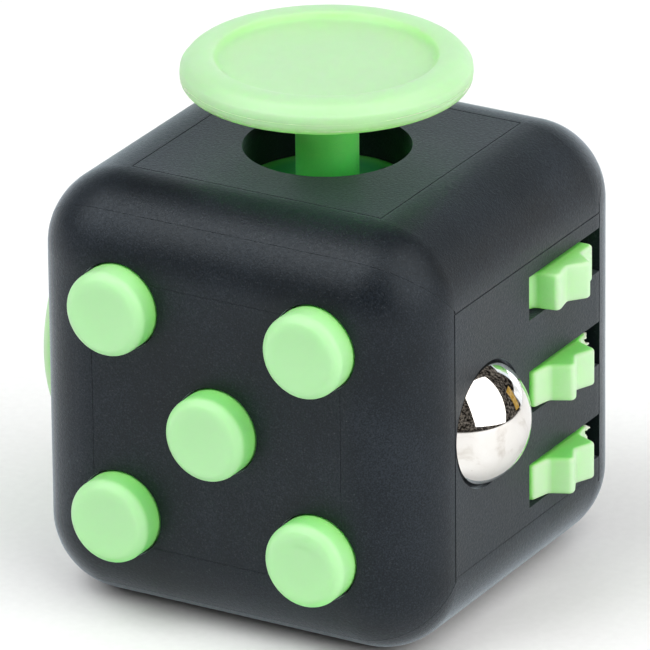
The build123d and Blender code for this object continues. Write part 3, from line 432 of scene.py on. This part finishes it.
def torn_flash_and_line_highlight():
    """Thin torn edges of the same plastic, stressed to a whitish green; on the parting lines the same pale colour
    stands in as a painted highlight.
    """
    m = Mat("torn_flash_and_line_highlight")
    mottle = m.noise(2200.0, 3.0, 0.6)
    m.link(m.ramp(mottle, [(0.3, (0.58, 0.80, 0.48)), (0.7, (0.78, 0.90, 0.68))]), m.p.inputs["Base Color"])
    m.link(m.grey(mottle, 0.42, 0.62, 0.3, 0.7), m.p.inputs["Roughness"])
    m.link(m.bump(mottle, 0.4, 0.00003), m.p.inputs["Normal"])
    m.set(IOR=1.46, Subsurface_Weight=0.4, Subsurface_Radius=(0.6, 1.0, 0.5), Subsurface_Scale=0.0010)
    return m.m


PALE_FLASH_AND_HIGHLIGHT = torn_flash_and_line_highlight()

slot_of = {s["node"]: s["material_slot"] for s in frame["record"]["subparts"]}
for name, ob in nodes.items():
    ob.data.materials.clear()
    ob.data.materials.append(LIT_AND_SHADED_COPIES.get(name) or MATERIALS[slot_of[name]])


# ---------------------------------------------------------------- moulding details
def piece(name, rings, closed, body, material):
    """A skin through rings of points; a closed row of rings joins end to end, an open one gets end caps."""
    mesh = bpy.data.meshes.new(name)
    bm = bmesh.new()
    rows = [[bm.verts.new(p) for p in ring] for ring in rings]
    count = len(rows[0])
    for i in range(len(rows) if closed else len(rows) - 1):
        a, b = rows[i], rows[(i + 1) % len(rows)]
        for j in range(count):
            bm.faces.new((a[j], a[(j + 1) % count], b[(j + 1) % count], b[j]))
    if not closed:
        bm.faces.new(list(reversed(rows[0])))
        bm.faces.new(rows[-1])
    bmesh.ops.recalc_face_normals(bm, faces=bm.faces)
    for f in bm.faces:
        f.smooth = True
    bm.to_mesh(mesh)
    bm.free()
    ob = bpy.data.objects.new(name, mesh)
    scene.collection.objects.link(ob)
    mesh.materials.append(material)
    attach(ob, body)
    return ob


def outer_radius(node, z):
    """Radius of a round node's outline at height z, from its own mesh."""
    ob = nodes[node]
    best = 0.0
    for e in ob.data.edges:
        p, q = (ob.matrix_world @ ob.data.vertices[i].co for i in e.vertices)
        if (p.z - z) * (q.z - z) <= 0 and abs(p.z - q.z) > 1e-9:
            c = p.lerp(q, (z - p.z) / (q.z - p.z))
            best = max(best, math.hypot(c.x, c.y))
    return best


def bead(name, z, thick, seed, gaps):
    """A moulding line that runs round the joystick's rim, thicker in places and broken in others, coloured pale as a
    painted highlight line.
    """
    r = outer_radius("joystick_cap", z)
    rings = []
    steps = 360
    for i in range(steps):
        a = 2 * math.pi * i / steps
        w = noise.noise(Vector((math.cos(a) * 5.0 + seed, math.sin(a) * 5.0, seed * 0.7)))
        fine = noise.noise(Vector((math.cos(a) * 30.0 + seed, math.sin(a) * 30.0, 3.1)))
        t = thick * (1.0 + 0.8 * w + 0.6 * fine)
        for mid, half, gain in gaps:
            d = abs((math.degrees(a) - mid + 180) % 360 - 180)
            if d < half:
                t *= 1.0 + gain * (1 - d / half)
        t = max(t, thick * 0.25)
        zz = z + 0.02 * MM * w
        ring = []
        for j in range(6):
            b = 2 * math.pi * j / 6
            rr = r - 0.012 * MM + t * math.cos(b)
            ring.append((rr * math.cos(a), rr * math.sin(a), zz + 0.8 * t * math.sin(b)))
        rings.append(ring)
    piece(name, rings, True, "joystick", PALE_FLASH_AND_HIGHLIGHT)


# The parting lines take the pale flash colour as a painted highlight.
bead("parting_line_rim", HALF + 22.25 * MM, 0.018 * MM, 2.0, ((260, 30, 0.8), (340, 25, 0.9)))
bead("parting_line_low", HALF + 21.75 * MM, 0.014 * MM, 7.0, ((250, 16, 1.0), (305, 20, 1.2)))


def gate_mark(name, mid, half, z, thick, seed):
    """A short torn ridge where the moulding gate was broken off the joystick's rim."""
    rng = random.Random(seed)
    r = outer_radius("joystick_cap", z)
    rings = []
    steps = 30
    for i in range(steps + 1):
        f = i / steps
        a = math.radians(mid + half * (2 * f - 1))
        t = thick * math.sin(math.pi * (0.03 + 0.94 * f)) ** 0.6 * (0.45 + 0.75 * rng.random())
        zz = z + thick * 0.5 * (rng.random() - 0.5) + 0.10 * MM * (f - 0.5)
        ring = []
        for j in range(7):
            b = 2 * math.pi * j / 7
            rr = r - 0.03 * MM + 0.75 * t * math.cos(b)
            ring.append((rr * math.cos(a), rr * math.sin(a), zz + 1.3 * t * math.sin(b)))
        rings.append(ring)
    piece(name, rings, False, "joystick", PALE_FLASH_AND_HIGHLIGHT)


gate_mark("gate_mark_left", 223, 11, HALF + 22.12 * MM, 0.10 * MM, 21)
gate_mark("gate_mark_right", 12, 6, HALF + 22.05 * MM, 0.10 * MM, 22)


def chip(name, body, centre, angle, radius, z0, z1, reach, seed):
    """A ragged fin of flash left on the tip of a gear lobe."""
    rng = random.Random(seed)
    a = math.radians(angle)
    out = Vector((math.cos(a), math.sin(a), 0))
    side = Vector((-math.sin(a), math.cos(a), 0))
    base = Vector((centre[0] * MM, centre[1] * MM, 0)) + out * radius * MM
    rings = []
    steps = 14
    for i in range(steps + 1):
        f = i / steps
        z = (z0 + (z1 - z0) * f) * MM
        grow = math.sin(math.pi * min(1, max(0, f * 0.94 + 0.03))) ** 0.5
        far = reach * MM * grow * (0.45 + 0.75 * rng.random())
        wide = 0.20 * MM * grow * (0.7 + 0.6 * rng.random()) + 0.01 * MM
        lean = 0.10 * MM * (rng.random() - 0.5)
        ring = []
        for j in range(8):
            b = 2 * math.pi * j / 8
            p = base + out * (far * 0.5 * (1 + math.cos(b)) - 0.12 * MM) + side * (wide * math.sin(b) + lean)
            ring.append((p.x, p.y, HALF + z + 0.03 * MM * (rng.random() - 0.5)))
        rings.append(ring)
    piece(name, rings, False, body, PALE_FLASH_AND_HIGHLIGHT)


GEAR_MID = (13.75, 5.3)
chip("flash_middle_a", "gear_middle", GEAR_MID, -17.5 + 80, 4.83, 0.68, 1.32, 0.46, 11)
chip("flash_middle_b", "gear_middle", GEAR_MID, -17.5 + 80, 4.83, 0.04, 0.56, 0.52, 12)
chip("flash_lower_a", "gear_lower", GEAR_MID, -19.0 + 80, 4.83, -6.58, -6.08, 0.62, 13)
chip("flash_lower_b", "gear_lower", GEAR_MID, -19.0 + 80, 4.83, -7.46, -6.72, 0.32, 14)


# ---------------------------------------------------------------- floor
def floor():
    mesh = bpy.data.meshes.new("floor")
    bm = bmesh.new()
    bmesh.ops.create_grid(bm, x_segments=8, y_segments=8, size=3.0)
    bm.to_mesh(mesh)
    bm.free()
    ob = bpy.data.objects.new("floor", mesh)
    ob.location.z = -0.00002
    scene.collection.objects.link(ob)
    m = Mat("floor_paper")
    fine = m.noise(1500.0, 3.0)
    m.link(m.ramp(fine, [(0.3, (0.90, 0.905, 0.91)), (0.7, (0.93, 0.935, 0.94))]), m.p.inputs["Base Color"])
    m.link(m.grey(fine, 0.55, 0.68, 0.3, 0.7), m.p.inputs["Roughness"])
    m.set(Specular_IOR_Level=0.25)
    mesh.materials.append(m.m)


floor()
